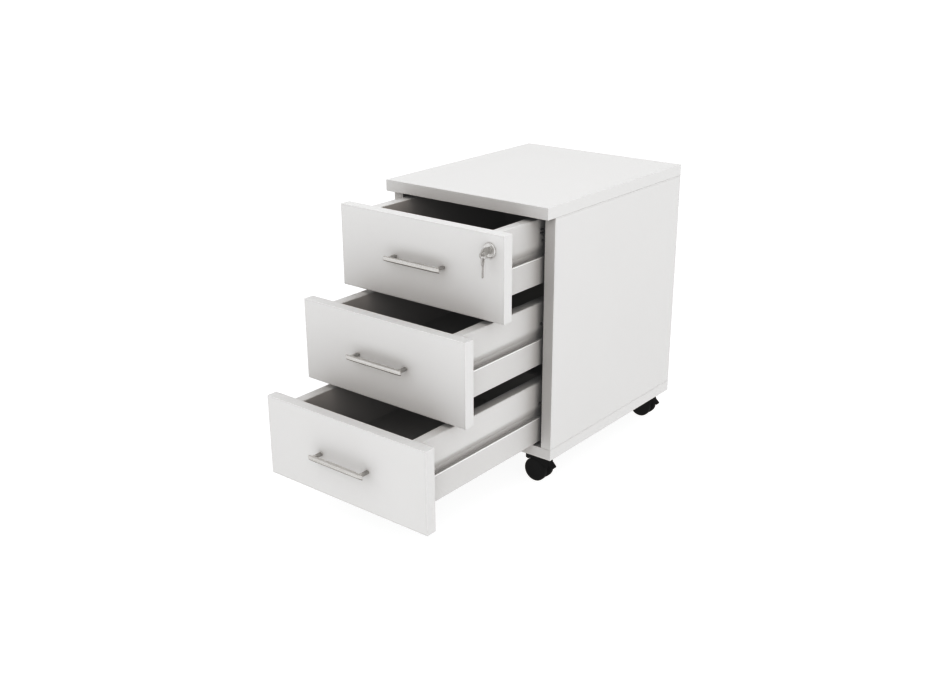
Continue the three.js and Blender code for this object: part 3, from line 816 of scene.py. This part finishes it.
def rosette():
    # (radius, y)
    rim = [(6.3, FRONT - 2.7), (6.75, FRONT - 3.2), (8.3, FRONT - 3.2), (8.6, FRONT - 2.75),
           (9.3, FRONT - 2.75), (9.6, FRONT - 3.2), (12.4, FRONT - 3.2)]
    rim += [(12.4 + 2.6 * math.sin(t), FRONT - 3.2 + 1.9 * (1 - math.cos(t)))
            for t in quarter_turn(7)[1:]]
    rim += [(15.0, FRONT - 0.35), (14.75, FRONT - 0.1), (9.0, FRONT - 0.1), (9.0, REAR - 0.5),
            (8.6, REAR), (6.6, REAR), (6.3, REAR - 0.4)]
    finish_piece("lock_rosette", lathe(rim, 96, along_y(LOCK_X, LOCK_Z)), "upper_drawer",
                 [LOCK], "lock_housing", smooth=28)


def lock_plug():
    """Turned core with an off-centre pin at the rear and a slot for the key."""
    plug = lathe([(0, FRONT - 3.6), (5.3, FRONT - 3.6), (5.75, FRONT - 3.45), (6.0, FRONT - 3.1),
                  (6.0, REAR - 0.5), (4.5, REAR - 0.5), (4.5, REAR + 1.5), (6.2, REAR + 1.5),
                  (6.4, REAR + 1.7), (6.4, REAR + 4.2), (6.1, REAR + 4.5), (0, REAR + 4.5)],
                 72, along_y(LOCK_X, LOCK_Z))
    pin = lathe([(0, REAR + 3.5), (1.8, REAR + 3.5), (1.8, REAR + 11.6), (1.4, REAR + 12.0),
                 (0, REAR + 12.0)], 32, along_y(LOCK_X + 4.4, LOCK_Z))
    slot = prism([rounded_rect(LOCK_X, LOCK_Z, 1.3, 4.3, 0.6)], FRONT - 8, FRONT + 20, along_y())
    mesh = combine(plug, [("UNION", pin), ("DIFFERENCE", slot)])
    finish_piece("lock_plug", mesh, "lock_core", [LOCK], "lock_core", smooth=30)


def notches(start, depths):
    """Points of a row of notches: (place along the blade, depth)."""
    points = []
    for depth in depths:
        points += [(start, 0), (start + 1.1, depth), (start + 2.0, depth), (start + 3.1, 0)]
        start += NOTCH_PITCH
    return points


def key_shape(bow, hole, blade, half_bow, half_blade):
    """A flat key in the YZ plane; the halves are half thicknesses."""
    bow_mesh = prism([bow, hole], LOCK_X - half_bow, LOCK_X + half_bow, along_x)
    blade_mesh = prism([blade], LOCK_X - half_blade, LOCK_X + half_blade, along_x)
    return combine(bow_mesh, [("UNION", blade_mesh)])


def inserted_key():
    bow = spline([(BOW_END - y, LOCK_Z - z) for y, z in KEY_BOW]
                 + [(BOW_END - KEY_BOW_LENGTH, LOCK_Z)]
                 + [(BOW_END - y, LOCK_Z + z) for y, z in KEY_BOW[::-1]])
    low, high = LOCK_Z - 3.4, LOCK_Z + 3.4
    blade = [(BOW_END - 1, low)]
    blade += [(y, low + depth) for y, depth in notches(FRONT + 1.5, KEY_NOTCHES)]
    blade += [(FRONT + 15.6, LOCK_Z - 2.4), (FRONT + 17, LOCK_Z - 0.6),
              (FRONT + 17, LOCK_Z + 1.4), (FRONT + 15, high), (BOW_END - 1, high)]
    mesh = key_shape(bow, ring_points(HOLE_Y, LOCK_Z, 3.0, 28), blade, 1.1, 0.9)
    finish_piece("key_cut", mesh, "key", [KEY], "key",
                 arris=0.22, segments=2, arris_angle=40)


def split_ring(mesh):
    """Two close turns of wire through both bows, added to the mesh."""
    turns, stations, wire_radius, pitch = 1.93, 116, 0.52, 1.12
    rings = []
    for k in range(stations + 1):
        angle = 2 * math.pi * (turns * k / stations - 0.12)
        y = HOLE_Y - pitch * turns / 2 + pitch * turns * k / stations
        centre = Vector((LOCK_X + RING_RADIUS * math.sin(angle), y,
                         LOCK_Z - RING_RADIUS + RING_RISE + RING_RADIUS * math.cos(angle)))
        outward = Vector((math.sin(angle), 0, math.cos(angle)))
        radius = wire_radius * (0.55 if k in (0, stations) else 1.0)
        rings.append([centre + outward * u + Vector((0, 1, 0)) * v
                      for u, v in ring_points(0.0, 0.0, radius, 12)])
    loft(rings, mesh)


def spare_key():
    """Second key, hanging from the ring and turned a little about the vertical."""
    bow = spline([(HOLE_Y + y, SPARE_Z + z) for y, z in SPARE_BOW])
    blade = [(HOLE_Y + y, SPARE_Z + z) for y, z in SPARE_BLADE]
    blade += [(HOLE_Y + 2.7 - depth, z) for z, depth in notches(SPARE_Z - 31.5, SPARE_NOTCHES)]
    blade += [(HOLE_Y + 2.7, SPARE_Z - 9.5)]
    mesh = key_shape(bow, ring_points(HOLE_Y, SPARE_Z - 0.8, 2.1, 24), blade, 1.0, 0.85)
    turn = (Matrix.Translation((LOCK_X, HOLE_Y, 0)) @ Matrix.Rotation(math.radians(12.0), 4, "Z")
            @ Matrix.Translation((-LOCK_X, -HOLE_Y, 0)))
    bmesh.ops.transform(mesh, matrix=turn, verts=mesh.verts)
    work = scratch("spare_work", mesh)
    add_bevel(work, width=0.2, segments=2, degrees=40, harden=False)
    mesh = bake(work)
    split_ring(mesh)
    finish_piece("spare_key_and_ring", mesh, "spare_key", [KEY], "spare_key",
                 smooth=32)


rosette()
lock_plug()
inserted_key()
spare_key()

# ---------------------------------------------------------------------------- castors
# Castor frame: origin 0.2 above the plate's top on its middle; +x is the outward side, where the
# brake lever is.
AXLE_X, AXLE_Z = -9.5, -37.5
PIVOT_X, PIVOT_Z = 14, -10.5  # of the brake lever
# (x, z, corner radius)
HOOD_OUTLINE = [(-31, -3.3, 1.2), (30, -3.3, 3.0), (31.6, -9, 6), (33, -16, 8), (32.4, -24, 8),
                (28, -31, 1.5), (-31, -12, 0.6)]
WEB_OUTLINE = [(-24, -4), (20, -4), (20, -20, 3), (8, -46, 4), (0, -52, 5), (-18, -52, 6),
               (-27, -44, 6), (-29, -32, 4)]
PEDAL_OUTLINE = [(10.4, -8, 1), (16, -7, 2.5), (20.0, -9.8, 3), (21.5, -17.5, 3),
                 (26.2, -21.4, 3), (32.2, -25.4, 0.9), (31.9, -28.2, 0.8), (30.2, -28.6, 0.8),
                 (25.6, -26.0, 2), (22.4, -25.2, 1.5), (18.4, -25, 1), (17.4, -23, 1),
                 (16, -15, 2), (10.8, -13, 1)]
PEDAL_GROOVES = [(25.0, -20.5), (27.2, -22.1), (29.4, -23.6)]  # (x, z)


def castor_place(castor, side):
    """Maps the castor frame to the row frame; left castors are turned by half a turn."""
    low, high = box_mm(castor + "_plate")
    middle_x, middle_y = (low.x + high.x) / 2, (low.y + high.y) / 2
    sign = 1.0 if side == "right" else -1.0
    return lambda x, y, z: Vector((middle_x + sign * x, middle_y + sign * y, high.z + 0.2 + z))


def move(mesh, place):
    for vert in mesh.verts:
        vert.co = place(*vert.co)


def wheel(name, place, sign):
    # (radius, distance from the castor's middle plane)
    profile = [(0, 16.55), (1.5, 16.6), (2.4, 16.85), (3.0, 17.0), (14.4, 17.0), (15.2, 17.12),
               (15.9, 17.5), (16.5, 17.85), (17.3, 18.0), (23.4, 18.0)]
    profile += [(23.4 + 3.1 * math.sin(t), 18.0 - 3.1 * (1 - math.cos(t)))
                for t in quarter_turn(8)[1:]]
    profile.append((26.5, 8.2))
    profile += [(24.9 + 1.6 * math.cos(t), 8.0 - 1.6 * math.sin(t)) for t in quarter_turn(5)[1:]]
    profile += [(21.0, 6.4), (20.4, 7.0), (8.6, 7.0), (8.0, 6.4), (4.25, 6.4), (4.25, 16.2),
                (0, 16.2)]
    mesh = lathe([(radius, sign * depth) for radius, depth in profile], 96,
                 lambda u, v, w: place(AXLE_X + u, w, AXLE_Z + v))
    finish_piece(name + "_tyre", mesh, name, [TREAD], name, smooth=40)


def hood(castor, place):
    name = castor + "_hood"
    at_axle = along_y(AXLE_X, AXLE_Z)
    cover = prism([fillet(HOOD_OUTLINE, 6)], -20, 20, along_y())
    # the outward end is rounded to a drum about the swivel axis
    nose = combine(block((0, -30, -60), (45, 30, 5)),
                   [("DIFFERENCE", cylinder(21.6, -70, 10, 96))])
    steps = [("DIFFERENCE", nose)]
    # wheel wells
    for start, end in ((6.0, 30.0), (-30.0, -6.0)):
        steps.append(("DIFFERENCE", cylinder(28.2, start, end, 96, at_axle)))
    axle = lathe([(0, -15.8), (3.6, -15.8), (4.0, -15.4), (4.0, 15.4), (3.6, 15.8), (0, 15.8)],
                 40, at_axle)
    steps += [
        ("UNION", prism([fillet(WEB_OUTLINE, 5)], -6, 6, along_y())),  # between the wheels
        ("DIFFERENCE", block((8.5, -8.8, -60), (45, 8.8, -5.5))),  # room for the lever
        ("DIFFERENCE", cylinder(4.3, -23, 5, 40)),  # bore on the swivel axis
        ("DIFFERENCE", cylinder(2.3, -13, 13, 24, along_y(PIVOT_X, PIVOT_Z))),
        ("UNION", axle),
    ]
    mesh = combine(cover, steps)
    move(mesh, place)
    finish_piece(name + "_shell", mesh, castor + "_swivel", [NYLON], name,
                 arris=0.55)


def brake(castor, place):
    name = castor + "_brake_lever"
    pedal = prism([fillet(PEDAL_OUTLINE, 5)], -8.3, 8.3, along_y())
    rod = lathe([(0, -12.6), (1.7, -12.6), (2.0, -12.3), (2.0, 12.3), (1.7, 12.6), (0, 12.6)],
                28, along_y(PIVOT_X, PIVOT_Z))
    steps = [("UNION", rod)]
    for x, z in PEDAL_GROOVES:
        groove = prism([ring_points(x, z, 0.55, 12)], -6.4, 6.4, along_y())
        steps.append(("DIFFERENCE", groove))
    mesh = combine(pedal, steps)
    for vert in mesh.verts:
        # the lever narrows toward its tip
        vert.co.y *= 1.0 - 0.36 * max(0.0, min(1.0, (vert.co.x - 18.0) / 14.0))
    move(mesh, place)
    finish_piece(name + "_pedal", mesh, castor + "_brake", [NYLON], name,
                 arris=0.45)


for end in ("front", "rear"):
    for side, _ in SIDES:
        castor = f"{end}_{side}_castor"
        place = castor_place(castor, side)
        dress(castor + "_plate", STEEL, width=0.4, segments=2)
        hood(castor, place)
        for letter, sign in (("a", -1), ("b", 1)):
            wheel(f"{castor}_wheel_{letter}", place, sign)
        brake(castor, place)


# ---------------------------------------------------------------------------- stage and light
def plain_floor():
    """White floor that turns into a glow away from the cabinet."""
    mesh = bmesh.new()
    bmesh.ops.create_grid(mesh, x_segments=2, y_segments=2, size=1.0)
    floor = add_object("floor", store("floor", mesh))
    floor.scale = (60, 60, 1)
    mat = new_material("studio_floor")
    geometry = mat.node("NewGeometry").outputs
    distance = mat.node("VectorMath", {0: geometry["Position"]}, operation="LENGTH")
    far = mat.remap(distance.outputs["Value"], span=(0.9, 2.6), to=(0.85, 1.0))
    base = mat.node("BsdfDiffuse", {"Color": (0.93, 0.93, 0.93, 1)})
    glow = mat.node("Emission", {"Color": (1, 1, 1, 1), "Strength": 1.12})
    both = mat.node("MixShader", {0: far, 1: base.outputs[0], 2: glow.outputs[0]})
    # from underneath the floor does not hide the cabinet
    under = mat.calc("MULTIPLY", geometry["Backfacing"],
                     mat.node("LightPath").outputs["Is Camera Ray"])
    clear = mat.node("BsdfTransparent")
    shown = mat.node("MixShader", {0: under, 1: both.outputs[0], 2: clear.outputs[0]})
    mat.node("OutputMaterial", {"Surface": shown.outputs[0]})
    floor.data.materials.append(mat.owner)


def studio_world():
    """White dome; what the camera sees has its own background."""
    world = bpy.data.worlds.new("studio")
    scene.world = world
    sky = Shader(world)
    path = sky.node("LightPath")
    dome = sky.node("Background", {"Color": (1, 1, 1, 1), "Strength": 1.0})
    seen = sky.node("Background", {"Color": (1, 1, 1, 1), "Strength": 1.0})
    pick = sky.node("MixShader", {0: path.outputs["Is Camera Ray"], 1: dome.outputs[0],
                                  2: seen.outputs[0]})
    sky.node("OutputWorld", {"Surface": pick.outputs[0]})


def softbox(name, where, aim, size, power, glossy=True):
    light = bpy.data.lights.new(name, "AREA")
    light.shape = "RECTANGLE"
    light.size, light.size_y = size
    light.energy = power
    lamp = add_object(name, light)
    lamp.location = where
    lamp.rotation_mode = "QUATERNION"
    lamp.rotation_quaternion = (Vector(aim) - Vector(where)).to_track_quat("-Z", "Y")
    lamp.visible_glossy = glossy


def add_camera():
    azimuth, elevation, roll = (math.radians(a) for a in (39.109, 20.932, -0.349))
    back = Vector((math.sin(azimuth) * math.cos(elevation),
                   -math.cos(azimuth) * math.cos(elevation), math.sin(elevation)))
    right = Vector((math.cos(azimuth), math.sin(azimuth), 0.0))
    up = back.cross(right)
    axis_x = right * math.cos(roll) + up * math.sin(roll)
    axis_y = up * math.cos(roll) - right * math.sin(roll)
    pose = Matrix((axis_x, axis_y, back)).transposed().to_4x4()
    pose.translation = Vector((1.457499, -1.848889, 1.158594))
    lens = bpy.data.cameras.new("camera")
    camera = add_object("camera", lens)
    camera.matrix_world = pose
    lens.sensor_fit = "HORIZONTAL"
    lens.sensor_width = 36.0
    lens.lens = 43.98
    lens.clip_start, lens.clip_end = 0.05, 100.0
    scene.camera = camera


def set_view():
    """Tone curve with lifted shadows, slightly warm in the middle tones."""
    view = scene.view_settings
    view.view_transform = "Standard"
    view.look = "None"
    view.gamma = 0.66
    view.use_curve_mapping = True
    mapping = view.curve_mapping
    mapping.initialize()
    combined = mapping.curves[3]
    combined.points[0].location = (0.0, 0.027)
    combined.points[-1].location = (1.0, 1.0)
    for level, lifted in ((0.05, 0.0735), (0.15, 0.165), (0.30, 0.305), (0.60, 0.60)):
        combined.points.new(level, lifted)
    # red up, blue down
    for channel, warm in ((0, 1.0), (2, -1.0)):
        for level, shift in ((0.08, 0.0015), (0.25, 0.008), (0.50, 0.012), (0.75, 0.005)):
            mapping.curves[channel].points.new(level, level + warm * shift)
    mapping.update()


scene = bpy.context.scene
plain_floor()
studio_world()
softbox("overhead", where=(0.3, -0.4, 3.2), aim=(0, 0, 0.3), size=(2.6, 2.6), power=8.5)
softbox("fill", where=(1.46, -1.85, 1.35), aim=(0, -0.1, 0.35), size=(0.9, 0.9), power=4.5,
        glossy=False)
add_camera()
set_view()
scene.cycles.diffuse_bounces = 0
